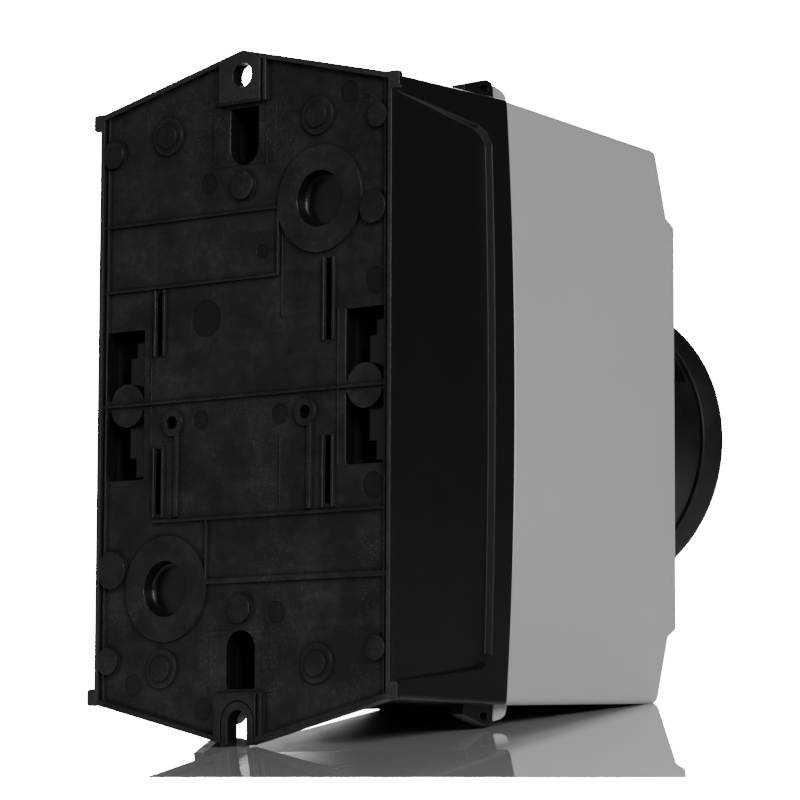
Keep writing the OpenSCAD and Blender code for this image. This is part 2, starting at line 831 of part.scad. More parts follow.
module cover_screws() {
    recess_d = screw_seat_d + cover_head_t / 2;
    color(zinc_steel) at_cover_screws() difference() {
        union() {
            rod(0, 0, floor_d + 5, screw_seat_d, cover_screw_r);
            rod(0, 0, screw_seat_d, screw_seat_d + cover_head_t, cover_head_r);
        }
        block(-cover_head_r - 1, cover_head_r + 1, recess_d, recess_d + cover_head_t, -0.5, 0.5);
        block(-0.5, 0.5, recess_d, recess_d + cover_head_t, -2.2, 2.2);
    }
}

// Places one copy at each of the four collar screws
module at_collar_screws() {
    for (a = [45:90:315]) translate([collar_screw_ring * cos(a), 0, collar_screw_ring * sin(a)])
        children();
}

module handle_collar() {
    notch_z0 = 16;
    notch_z1 = 27;
    color(black_plastic) difference() {
        turned() polygon([
            [sleeve_r + run_gap, front_d], [collar_r, front_d], [collar_r, collar_front_d],
            [collar_r - collar_wall + 1.5, collar_front_d], [collar_r - collar_wall + 1.5, dial_back_d],
            [collar_r - collar_wall, dial_back_d], [collar_r - collar_wall, front_d + collar_base_t],
            [sleeve_r + 4, front_d + collar_base_t], [sleeve_r + 4, front_d + 3 * collar_base_t],
            [sleeve_r + run_gap, front_d + 3 * collar_base_t]
        ]);
        // The opening for a lock shackle
        block(-collar_r - 2, -20, collar_front_d - 11, collar_front_d - 1.6, notch_z0, notch_z1);
        at_collar_screws() rod(0, 0, front_d - eps, front_d + 2.4, 1.25);
    }
}

module dial_ring() {
    in_r = knob_r + 0.6;
    neck_r = collar_r - collar_wall - near_gap;
    color(black_plastic) turned() polygon([
        [in_r, dial_back_d - 2.6], [neck_r, dial_back_d - 2.6], [neck_r, dial_back_d],
        [collar_r + 0.7, dial_back_d], [dial_r, dial_front_d - 1.4], [dial_r, dial_front_d - 0.4],
        [dial_r - 0.4, dial_front_d], [in_r, dial_front_d]
    ]);
}

// Two posts that hold the padlock slide when it is out, each standing on the dial ring
module lock_posts() {
    gap_z = slide_t / 2 + 0.6;
    color(black_plastic) for (z0 = [-gap_z - post_thick, gap_z]) {
        block(post_far_x, post_near_x, dial_front_d, dial_front_d + post_high, z0, z0 + post_thick);
    }
}

module collar_screws() {
    color(zinc_steel) at_collar_screws() {
        rod(0, 0, inner_front_d, front_d + 2, 1.2);
        rod(0, 0, inner_front_d - 1.8, inner_front_d, 2.4);
    }
}

module shaft_seal() {
    color(dark_rubber) turned() translate([sleeve_r + near_gap, front_d - seal_t]) square([seal_w,
        seal_t]);
}

// The grip's outline from the front: a bar with round ends
module grip_outline(l, t) {
    square([2 * l - t, t], center = true);
    for (s = [-1, 1]) translate([s * (l - t / 2), 0]) circle(t / 2);
}

module rotary_handle() {
    color(black_plastic) difference() {
        union() {
            turned() polygon([
                [0, front_d + collar_base_t * 3 + 1], [sleeve_r + 2, front_d + collar_base_t * 3 + 1],
                [sleeve_r + 4, dial_back_d - 2], [sleeve_r + 4, dial_front_d - 2.4], [knob_r - 2.4,
                dial_front_d - 2.4],
                [knob_r - 2.4, dial_back_d - 1], [knob_r, dial_back_d - 1], [knob_r, knob_face_d - 1.4],
                [knob_r - 1.4, knob_face_d], [0, knob_face_d]
            ]);
            rod(0, 0, front_d - 1.5, front_d + collar_base_t * 3 + 1.2, sleeve_r);
            slab(knob_face_d - eps, grip_front_d - 1.2) grip_outline(grip_l, grip_t);
            slab(grip_front_d - 1.2 - eps, grip_front_d) grip_outline(grip_l - 1.2, grip_t - 2.4);
        }
        // The socket for the square shaft, and the hole for its screw
        block(-shaft_half - socket_gap, shaft_half + socket_gap, front_d - 2, shaft_front_d + 0.5,
            -shaft_half - socket_gap, shaft_half + socket_gap);
        rod(0, 0, front_d, grip_front_d + 1, 2.2);
        rod(0, 0, knob_face_d + 4, grip_front_d + 1, 4.6);
        // The channel of the padlock slide and the hole for a shackle
        block(-grip_l - 1, slide_end_x + 1, slide_d - slide_gap, slide_d + slide_h + slide_gap,
            -slide_t / 2 - slide_gap, slide_t / 2 + slide_gap);
        translate([shackle_x, -slide_mid_d, -grip_t]) cylinder(h = 2 * grip_t, r = shackle_r + 0.3);
    }
}

module handle_screw() {
    color(zinc_steel) difference() {
        union() {
            rod(0, 0, shaft_front_d - 10, knob_face_d + 4, 1.9);
            rod(0, 0, knob_face_d + 4, knob_face_d + 6.6, 3.8);
        }
        block(-3, 3, knob_face_d + 5.4, knob_face_d + 8, -0.5, 0.5);
    }
}

module handle_cap() {
    color(black_plastic) {
        rod(0, 0, grip_front_d - 3.4, grip_front_d - 0.4, 4.5);
        rod(0, 0, grip_front_d - 0.4, grip_front_d + 0.4, 4.1);
    }
}

module padlock_slide() {
    nose_r = 2;
    color(zinc_steel) translate([0, 0, -slide_t / 2]) linear_extrude(slide_t) difference() {
        union() {
            translate([-grip_l + nose_r, -slide_d - slide_h]) square([slide_end_x + grip_l - nose_r,
                slide_h]);
            translate([-grip_l, -slide_d - slide_h + nose_r]) square([nose_r + eps,
                slide_h - 2 * nose_r]);
            for (d = [slide_d + nose_r, slide_d + slide_h - nose_r]) translate([-grip_l + nose_r, -d])
                circle(nose_r);
        }
        translate([shackle_x + slide_travel, -slide_mid_d]) circle(shackle_r);
    }
}

module extension_shaft() {
    color(zinc_steel) difference() {
        block(-shaft_half, shaft_half, coupler_d + coupler_l / 2 + 0.2, shaft_front_d, -shaft_half,
            shaft_half);
        rod(0, 0, shaft_front_d - 11, shaft_front_d + 1, 1.95);
    }
}

module shaft_coupler() {
    mid = coupler_d + coupler_l / 2;
    color(deck_plastic) difference() {
        rod(0, 0, coupler_d, coupler_d + coupler_l, coupler_r);
        block(-shaft_half - socket_gap, shaft_half + socket_gap, coupler_d - 1, coupler_d + coupler_l + 1,
            -shaft_half - socket_gap, shaft_half + socket_gap);
        for (s = [-1, 1]) translate([0, -mid - s * 4, 0]) cylinder(h = coupler_r + 1, r = 1.55);
    }
}

module coupler_screws() {
    mid = coupler_d + coupler_l / 2;
    color(zinc_steel) for (s = [-1, 1]) {
        translate([0, -mid - s * 4, shaft_half]) cylinder(h = coupler_r - shaft_half, r = 1.5);
    }
}

module switch_foot() {
    color(deck_plastic) difference() {
        union() {
            slab(foot_d, pad_d) round_rect(deck_w + 3, deck_h + 2, 3);
            slab(pad_d - eps, deck_d) round_rect(deck_w - 24, deck_h - 6, 2);
            slab(pad_d - eps, deck_d) for (sx = [-1, 1], sz = [-1, 1]) disc(sx * bolt_x, sz * bolt_z,
                3.2);
        }
        for (x = foot_screw_x) rod(x, foot_screw_z, foot_d - 1, pad_d + 1, 2.1);
        for (sx = [-1, 1], sz = [-1, 1]) {
            rod(sx * bolt_x, sz * bolt_z, foot_d + 1.4, deck_d + 1, bolt_hole_r);
        }
        rod(0, 0, deck_d - 2, deck_d + 1, 5.4);
    }
}

module foot_screws() {
    color(zinc_steel) for (x = foot_screw_x) {
        rod(x, foot_screw_z, foot_d - 9, pad_d, foot_screw_r - run_gap);
        difference() {
            rod(x, foot_screw_z, pad_d, pad_d + 2.4, 3.4);
            block(x - 4, x + 4, pad_d + 1.5, pad_d + 3, foot_screw_z - 0.5, foot_screw_z + 0.5);
        }
    }
}

// One contact deck: a tray with a round cam chamber and channels for the contacts
module contact_deck(d0) {
    d1 = d0 + deck_t;
    in_d = d0 + deck_floor;
    mid = d0 + deck_mid;
    color(deck_plastic) difference() {
        slab(d0, d1) round_rect(deck_w, deck_h, 2.4);
        rod(0, 0, in_d, d1 + 1, cam_r + 0.8);
        rod(0, 0, d0 - 1, d1 + 1, 5.6);
        for (s = [-1, 1]) {
            // The channel of the carrier and its spring
            block(s > 0 ? 0 : -spring_end_x, s > 0 ? spring_end_x : 0, in_d, d1 + 1,
                -carrier_half_z - near_gap,
                carrier_half_z + near_gap);
            // The room in which the bridge travels
            block(s > 0 ? fixed_tip_x - tip_t : -spring_x - 0.2,
                s > 0 ? spring_x + 0.2 : -fixed_tip_x + tip_t,
                mid - 3, d1 + 1, -bridge_half_z - near_gap, bridge_half_z + near_gap);
            // The ways out for the two contact strips
            for (sz = [-1, 1]) {
                block(s > 0 ? strip_x - 0.1 : -strip_x - strip_t - 0.1,
                    s > 0 ? strip_x + strip_t + 0.1 : -strip_x + 0.1,
                    mid - strip_half_d - 0.1, d1 + 1, sz > 0 ? cam_r : -deck_half_h - 1,
                    sz > 0 ? deck_half_h + 1 : -cam_r);
                translate([s * terminal_x, -mid,
                    sz > 0 ? deck_half_h - terminal_shank - 1 : -deck_half_h - 1])
                    cylinder(h = terminal_shank + 2, r = terminal_screw_r + 0.1);
            }
        }
        for (sx = [-1, 1], sz = [-1, 1]) rod(sx * bolt_x, sz * bolt_z, d0 - 1, d1 + 1, bolt_hole_r);
    }
}

terminal_x = strip_x + strip_t + 4;

// The latch housing: a tray for the detent wheel, its two springs and the end stops
module latch_housing() {
    in_d = latch_d + 2;
    stop_d = plate_d - stop_t - 0.3;
    open_from = 90 - stop_half_angle - stop_play;
    open_to = 90 + switch_turn + stop_half_angle + stop_play;
    color(deck_plastic) difference() {
        slab(latch_d, plate_d) round_rect(deck_w, deck_h - 4, 2.4);
        rod(0, 0, latch_d - 1, plate_d + 1, 5.6);
        rod(0, 0, in_d, stop_d + eps, wheel_r + wheel_notch + 0.6);
        for (s = [-1, 1]) {
            block(-13, 13, in_d, in_d + leaf_w + 0.6, s > 0 ? 5 : -11.6, s > 0 ? 11.6 : -5);
        }
        rod(0, 0, stop_d, plate_d + 1, 9);
        slab(stop_d, plate_d + 1) intersection() {
            circle(stop_r + 0.4);
            polygon(concat([[0, 0]], [for (i = [0:6]) let (a = open_from + (open_to - open_from) * i / 6)
                30 * [cos(a), sin(a)]]));
        }
        for (sx = [-1, 1], sz = [-1, 1]) rod(sx * bolt_x, sz * bolt_z, latch_d - 1, plate_d + 1,
            bolt_hole_r);
    }
}

module front_plate() {
    color(zinc_steel) difference() {
        slab(plate_d, stack_front_d) round_rect(deck_w, deck_h - 4, 2.4);
        rod(0, 0, plate_d - 1, stack_front_d + 1, 5.3 + run_gap);
        for (sx = [-1, 1], sz = [-1, 1]) rod(sx * bolt_x, sz * bolt_z, plate_d - 1, stack_front_d + 1,
            bolt_hole_r);
    }
}

module tie_bolts() {
    color(zinc_steel) for (sx = [-1, 1], sz = [-1, 1]) {
        rod(sx * bolt_x, sz * bolt_z, foot_d + 1.6, stack_front_d, bolt_r);
        difference() {
            rod(sx * bolt_x, sz * bolt_z, stack_front_d, stack_front_d + 2.2, 2.9);
            block(sx * bolt_x - 3, sx * bolt_x + 3, stack_front_d + 1.2, stack_front_d + 3,
                sz * bolt_z - 0.4,
                sz * bolt_z + 0.4);
        }
    }
}

module switch_shaft() {
    color(zinc_steel) {
        rod(0, 0, deck_d - 1.8, deck_d + 0.4, 5.3);
        block(-shaft_half, shaft_half, deck_d + 0.4 - eps, coupler_d + coupler_l / 2 - 0.2,
            -shaft_half, shaft_half);
        rod(0, 0, plate_d, stack_front_d, 5.3);
    }
}

// One cam: two gentle lobes whose radius falls evenly from the lobe to the flank
module cam_disc(d0) {
    d = d0 + deck_mid - cam_t / 2;
    steps = 90;
    color(cam_plastic) difference() {
        slab(d, d + cam_t) polygon([for (i = [0:steps - 1])
            let (a = 360 * i / steps, ramp = abs(((a % 180) - 90) / 90))
            (cam_low_r + contact_travel * ramp) * [cos(a), sin(a)]]);
        block(-shaft_half - socket_gap, shaft_half + socket_gap, d - 1, d + cam_t + 1,
            -shaft_half - socket_gap,
            shaft_half + socket_gap);
    }
}

module detent_wheel() {
    d = latch_d + 2.3;
    steps = 96;
    color(cam_plastic) difference() {
        slab(d, d + wheel_t - 1) polygon([for (i = [0:steps - 1]) let (a = 360 * i / steps)
            (wheel_r - wheel_notch * cos(4 * a)) * [cos(a), sin(a)]]);
        block(-shaft_half - socket_gap, shaft_half + socket_gap, d - 1, d + wheel_t + 1,
            -shaft_half - socket_gap,
            shaft_half + socket_gap);
    }
}

// A leaf spring above and below the wheel, with a nose that drops into its notch
module detent_springs() {
    d = latch_d + 2.3;
    nose_r = 3;
    nose_z = wheel_r - wheel_notch + near_gap + nose_r;
    color(spring_steel) for (s = [-1, 1]) slab(d, d + leaf_w) flip_outline(s) {
        difference() {
            disc(0, nose_z, nose_r);
            disc(0, nose_z, nose_r - leaf_t);
            patch(-nose_r - 1, nose_r + 1, nose_z - nose_r + 1.6, nose_z + nose_r + 1);
        }
        for (x0 = [-12.8, 2.1]) patch(x0, x0 + 10.7, nose_z - nose_r + 1, nose_z - nose_r + 1 + leaf_t);
    }
}

// Keeps an outline, or turns it upside down
module flip_outline(s) {
    mirror([0, s > 0 ? 0 : 1]) children();
}

// The disc that carries the stop finger
module stop_disc() {
    d = plate_d - stop_t;
    mid = 180;
    color(cam_plastic) difference() {
        slab(d, d + stop_t - 0.2) {
            circle(8.4);
            intersection() {
                circle(stop_r);
                polygon([[0, 0], 30 * [cos(mid - stop_half_angle), sin(mid - stop_half_angle)],
                    30 * [cos(mid + stop_half_angle), sin(mid + stop_half_angle)]]);
            }
        }
        block(-shaft_half - socket_gap, shaft_half + socket_gap, d - 1, d + stop_t + 1,
            -shaft_half - socket_gap,
            shaft_half + socket_gap);
    }
}

// One contact carrier: a round-nosed tip on the cam and a block with a slot for the bridge
module carrier(d0, s) {
    mid = d0 + deck_mid;
    color(cam_plastic) mirror([s > 0 ? 0 : 1, 0, 0]) difference() {
        union() {
            translate([carrier_x + carrier_tip_r, -mid + carrier_t / 2 - 0.6, 0]) rotate([90, 0, 0])
                cylinder(h = carrier_t - 1.2, r = carrier_tip_r);
            block(carrier_x + carrier_tip_r, carrier_body_x + 1, mid - carrier_t / 2 + 0.6,
                mid + carrier_t / 2 - 0.6, -carrier_tip_r, carrier_tip_r);
            block(carrier_body_x, spring_x, mid - carrier_t / 2, mid + carrier_t / 2, -carrier_half_z,
                carrier_half_z);
        }
        block(bridge_x - 0.05, bridge_x + strip_t + 0.05, mid - bridge_half_d - 0.05,
            mid + bridge_half_d + 0.05,
            -carrier_half_z - 1, carrier_half_z + 1);
    }
}

// One moving bridge with a contact tip at each end
module bridge(d0, s) {
    mid = d0 + deck_mid;
    color(copper) mirror([s > 0 ? 0 : 1, 0, 0]) {
        block(bridge_x, bridge_x + strip_t, mid - bridge_half_d, mid + bridge_half_d, -bridge_half_z,
            bridge_half_z);
        for (sz = [-1, 1]) {
            translate([tip_face_x, -mid, sz * tip_z]) rotate([0, 90, 0]) cylinder(h = tip_t, r = tip_r);
        }
    }
}

// A closed coil of round wire along X, from a start to an end
module coil(x0, x1, d, z, r, wire, turns) {
    ring_steps = 14;
    sides = 6;
    count = turns * ring_steps;
    points = [for (i = [0:count]) let (a = 360 * i / ring_steps, x = x0 + wire + (x1 - x0 - 2 * wire)
        * i / count)
        for (j = [0:sides - 1]) let (b = 360 * j / sides, rr = r + wire * cos(b))
            [x + wire * sin(b), -d + rr * cos(a), z + rr * sin(a)]];
    faces = concat(
        [[for (j = [sides - 1:-1:0]) j]],
        [for (i = [0:count - 1], j = [0:sides - 1]) let (k = (j + 1) % sides)
            [i * sides + j, i * sides + k, (i + 1) * sides + k, (i + 1) * sides + j]],
        [[for (j = [0:sides - 1]) count * sides + j]]
    );
    polyhedron(points, faces);
}

module contact_springs() {
    color(spring_steel) for (n = [0:deck_count - 1]) {
        mid = deck_d + n * deck_t + deck_mid;
        coil(spring_x + 0.1, spring_end_x - 0.1, mid, 0, spring_r, spring_wire, spring_turns);
        mirror([1, 0, 0]) coil(spring_x + 0.1, spring_end_x - 0.1, mid, 0, spring_r, spring_wire,
            spring_turns);
    }
}

// Places one copy at each of the eight terminals, drawn for the upper right one
module at_terminals() {
    for (n = [0:deck_count - 1], sx = [0, 1], sz = [0, 1]) {
        mid = deck_d + n * deck_t + deck_mid;
        translate([0, -mid, 0]) mirror([sx, 0, 0]) mirror([0, 0, sz]) children();
    }
}

module fixed_contacts() {
    color(copper) at_terminals() {
        block(strip_x, strip_x + strip_t, -strip_half_d, strip_half_d, tip_z - 2.4,
            deck_half_h + terminal_t);
        translate([strip_x + strip_t, 0, tip_z]) rotate([0, 90, 0]) cylinder(h = tip_t, r = tip_r);
        difference() {
            block(strip_x, terminal_x + terminal_half, -terminal_half, terminal_half, deck_half_h,
                deck_half_h + terminal_t);
            translate([terminal_x, 0, deck_half_h - 1]) cylinder(h = terminal_t + 2,
                r = terminal_screw_r + run_gap);
        }
    }
}

module terminal_clamps() {
    color(zinc_steel) at_terminals() difference() {
        block(terminal_x - terminal_half, terminal_x + terminal_half, -terminal_half, terminal_half,
            deck_half_h + terminal_t, deck_half_h + terminal_t + clamp_t);
        translate([terminal_x, 0, deck_half_h]) cylinder(h = terminal_t + clamp_t + 1,
            r = terminal_screw_r + 0.15);
    }
}

module terminal_screws() {
    z = deck_half_h + terminal_t + clamp_t;
    color(zinc_steel) at_terminals() {
        translate([terminal_x, 0, z - terminal_shank]) cylinder(h = terminal_shank, r = terminal_screw_r);
        difference() {
            translate([terminal_x, 0, z]) cylinder(h = terminal_head_t, r = terminal_head_r);
            block(terminal_x - 4, terminal_x + 4, -0.5, 0.5, z + terminal_head_t - 1.2,
                z + terminal_head_t + 1);
        }
    }
}

// A brass bar on its post, with two cross holes for wires
module bar_terminal(x) {
    difference() {
        block(x - bar_w / 2, x + bar_w / 2, bar_d, bar_d + bar_h, bar_z - bar_h / 2, bar_z + bar_h / 2);
        for (s = [-1, 1]) translate([x + s * bar_hole_x, -bar_d - bar_h / 2, bar_z - bar_h]) {
            cylinder(h = 2 * bar_h, r = bar_hole_r);
        }
        rod(x, bar_z, bar_d - 1, bar_d + bar_h + 1, bar_screw_r + near_gap);
        for (s = [-1, 1]) {
            rod(x + s * bar_hole_x, bar_z, bar_d + bar_h / 2, bar_d + bar_h + 1, wire_screw_r + 0.1);
        }
    }
}

module earth_terminal() {
    color(brass) bar_terminal(bar_x);
}

module neutral_terminal() {
    color(brass) bar_terminal(-bar_x);
}

module bar_screws() {
    top = bar_d + bar_h;
    color(zinc_steel) for (x = [-bar_x, bar_x]) {
        rod(x, bar_z, floor_d + 0.5, top, bar_screw_r);
        rod(x, bar_z, top, top + 2, 3.2);
        for (s = [-1, 1]) translate([x + s * bar_hole_x, 0, bar_z]) difference() {
            rod(0, 0, bar_d + bar_h / 2 + 0.5, top + 2.6, wire_screw_r);
            block(-wire_screw_r - 1, wire_screw_r + 1, top + 1.6, top + 4, -0.4, 0.4);
        }
    }
}

base_housing();
cover();
cover_gasket();
cover_screws();
handle_collar();
dial_ring();
lock_posts();
collar_screws();
shaft_seal();
rotary_handle();
handle_screw();
handle_cap();
padlock_slide();
extension_shaft();
shaft_coupler();
coupler_screws();
switch_foot();
foot_screws();
contact_deck(deck_d);  // contact_deck_1
contact_deck(deck_d + deck_t);  // contact_deck_2
latch_housing();
front_plate();
tie_bolts();
switch_shaft();
cam_disc(deck_d);  // cam_1
cam_disc(deck_d + deck_t);  // cam_2
detent_wheel();
detent_springs();
stop_disc();
carrier(deck_d, -1);  // carrier_1_left
carrier(deck_d, 1);  // carrier_1_right
carrier(deck_d + deck_t, -1);  // carrier_2_left
carrier(deck_d + deck_t, 1);  // carrier_2_right
bridge(deck_d, -1);  // bridge_1_left
bridge(deck_d, 1);  // bridge_1_right
bridge(deck_d + deck_t, -1);  // bridge_2_left
bridge(deck_d + deck_t, 1);  // bridge_2_right
contact_springs();
fixed_contacts();
terminal_clamps();
terminal_screws();
earth_terminal();
neutral_terminal();
bar_screws();
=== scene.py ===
"""Looks of the enclosed rotary isolator switch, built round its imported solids.

Lengths in the shape functions are millimetres in the part's own frame: X across, Z up,
the wall at Y = 0 and the front towards -Y. A depth is the distance in front of the wall.
"""
import json

import bpy
import numpy as np
from mathutils import Matrix, Vector


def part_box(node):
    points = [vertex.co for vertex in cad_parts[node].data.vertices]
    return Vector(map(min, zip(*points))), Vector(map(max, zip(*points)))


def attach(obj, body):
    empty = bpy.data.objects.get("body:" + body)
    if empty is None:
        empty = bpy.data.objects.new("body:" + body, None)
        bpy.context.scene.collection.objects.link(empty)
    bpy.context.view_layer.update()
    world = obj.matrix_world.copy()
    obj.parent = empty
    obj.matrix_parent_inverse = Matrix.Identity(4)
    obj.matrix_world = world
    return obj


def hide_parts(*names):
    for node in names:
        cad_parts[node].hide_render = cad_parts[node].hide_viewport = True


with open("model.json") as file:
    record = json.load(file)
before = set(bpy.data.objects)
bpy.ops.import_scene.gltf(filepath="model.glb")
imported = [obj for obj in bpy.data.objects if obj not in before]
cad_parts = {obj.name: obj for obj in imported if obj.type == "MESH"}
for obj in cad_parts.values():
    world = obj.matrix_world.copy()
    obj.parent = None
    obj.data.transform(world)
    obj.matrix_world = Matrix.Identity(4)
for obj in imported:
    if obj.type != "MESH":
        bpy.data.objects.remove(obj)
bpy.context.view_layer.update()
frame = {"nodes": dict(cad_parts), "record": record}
MM = 0.001
# Faces that meet at more than this angle, in radians, keep a sharp edge between them
SHARP_ANGLE = 0.6


# Finishes

class Wire:
    """An output of a shader node. Arithmetic on it adds the maths nodes that it needs."""

    def __init__(self, tree, socket):
        self.tree, self.socket = tree, socket

    def maths(self, operation, *others, clamp=False):
        """Adds a maths node whose first value is this output."""
        made = self.tree.nodes.new("ShaderNodeMath")
        made.operation, made.use_clamp = operation, clamp
        for place, value in zip(made.inputs, (self, *others)):
            join(self.tree, value, place)
        return Wire(self.tree, made.outputs[0])

    def __add__(self, other):
        return self.maths("ADD", other)

    def __sub__(self, other):
        return self.maths("SUBTRACT", other)

    def __rsub__(self, other):
        return self.maths("MULTIPLY", -1.0).maths("ADD", other)

    def __mul__(self, other):
        return self.maths("MULTIPLY", other)

    def __truediv__(self, other):
        return self.maths("DIVIDE", other)

    def __rtruediv__(self, other):
        return self.maths("POWER", -1.0).maths("MULTIPLY", other)

    def __pow__(self, other):
        return self.maths("POWER", other)

    def __abs__(self):
        return self.maths("ABSOLUTE")

    __radd__, __rmul__ = __add__, __mul__

    def over(self, edge):
        """1 where the value is over the edge, and 0 elsewhere."""
        return self.maths("GREATER_THAN", edge)

    def most(self, other):
        """The larger of the two values."""
        return self.maths("MAXIMUM", other)

    def kept(self):
        """The value, held between 0 and 1."""
        return self.maths("ADD", 0.0, clamp=True)


def join(tree, value, place):
    """Sets a socket to a number, a colour or a vector, or links an output to it."""
    if isinstance(value, Wire):
        tree.links.new(value.socket, place)
    else:
        place.default_value = value


class Shader:
    """The nodes of a material or of the world."""

    def __init__(self, tree):
        self.tree = tree

    def node(self, kind, settings=None, sockets=None, out=0):
        """Adds a node: its type, its settings, the values or links of its sockets, and the output."""
        made = self.tree.nodes.new("ShaderNode" + kind)
        for key, value in (settings or {}).items():
            if key == "stops":
                ramp = made.color_ramp
                while len(ramp.elements) < len(value):
                    ramp.elements.new(0.5)
                for element, (place, level) in zip(ramp.elements, value):
                    element.position, element.color = place, (level, level, level, 1)
            else:
                setattr(made, key, value)
        for key, value in (sockets or {}).items():
            join(self.tree, value, made.inputs[key])
        return Wire(self.tree, made.outputs[out])


class Finish(Shader):
    """A procedural material whose patterns are laid out in millimetres of the part's frame."""

    def __init__(self, name, **constants):
        self.material = bpy.data.materials.new(name)
        self.material.use_nodes = True
        super().__init__(self.material.node_tree)
        self.skin = self.tree.nodes["Principled BSDF"]
        for key, value in constants.items():
            self.skin.inputs[key.replace("_", " ")].default_value = value
        metres = self.node("TexCoord", out="Object")
        self.at = self.node("VectorMath", {"operation": "SCALE"}, {"Vector": metres, "Scale": 1 / MM})

    def axis(self, name):
        """One coordinate of the part's frame, in millimetres."""
        return self.node("SeparateXYZ", sockets={"Vector": self.at}, out=name)

    def noise(self, size, detail=3.0, rough=0.55, squeeze=None):
        """Soft noise from 0 to 1 whose features are about size millimetres across."""
        at = self.at
        if squeeze:
            at = self.node("VectorMath", {"operation": "MULTIPLY"}, {0: self.at, 1: squeeze})
        return self.node("TexNoise", sockets={"Vector": at, "Scale": 1 / size, "Detail": detail,
                                              "Roughness": rough}, out=0)

    def levels(self, value, *stops):
        """A value remapped through a ramp of (place, level) stops."""
        return self.node("ValToRGB", {"stops": stops}, {"Fac": value})

    def mix(self, share, low, high):
        """A colour between two colours."""
        return self.node("Mix", {"data_type": "RGBA"}, {0: share, 6: low, 7: high}, out=2)

    def edges(self, radius):
        """How far the surface turns within a small radius, and the normal rounded over it."""
        rounded = self.node("Bevel", {"samples": 5}, {"Radius": radius * MM}, out=0)
        true = self.node("NewGeometry", out="Normal")
        along = self.node("VectorMath", {"operation": "DOT_PRODUCT"}, {0: rounded, 1: true}, out=1)
        return (1 - along).kept(), rounded

    def nooks(self, reach, *stops):
        """How closed in the surface is within a reach in millimetres, through a ramp of stops."""
        open_share = self.node("AmbientOcclusion", {"samples": 5}, {"Distance": reach * MM}, out="AO")
        return self.levels(1 - open_share, *stops)

    def relief(self, height, depth, over=None):
        """Bump of the given depth in millimetres, over a normal that is already there."""
        sockets = {"Height": height, "Distance": depth * MM, "Strength": 1.0}
        if over is not None:
            sockets["Normal"] = over
        return self.node("Bump", sockets=sockets)

    def wear(self, **links):
        """Links what changes over the surface, and gives back the material."""
        for key, value in links.items():
            join(self.tree, value, self.skin.inputs[key.replace("_", " ")])
        return self.material


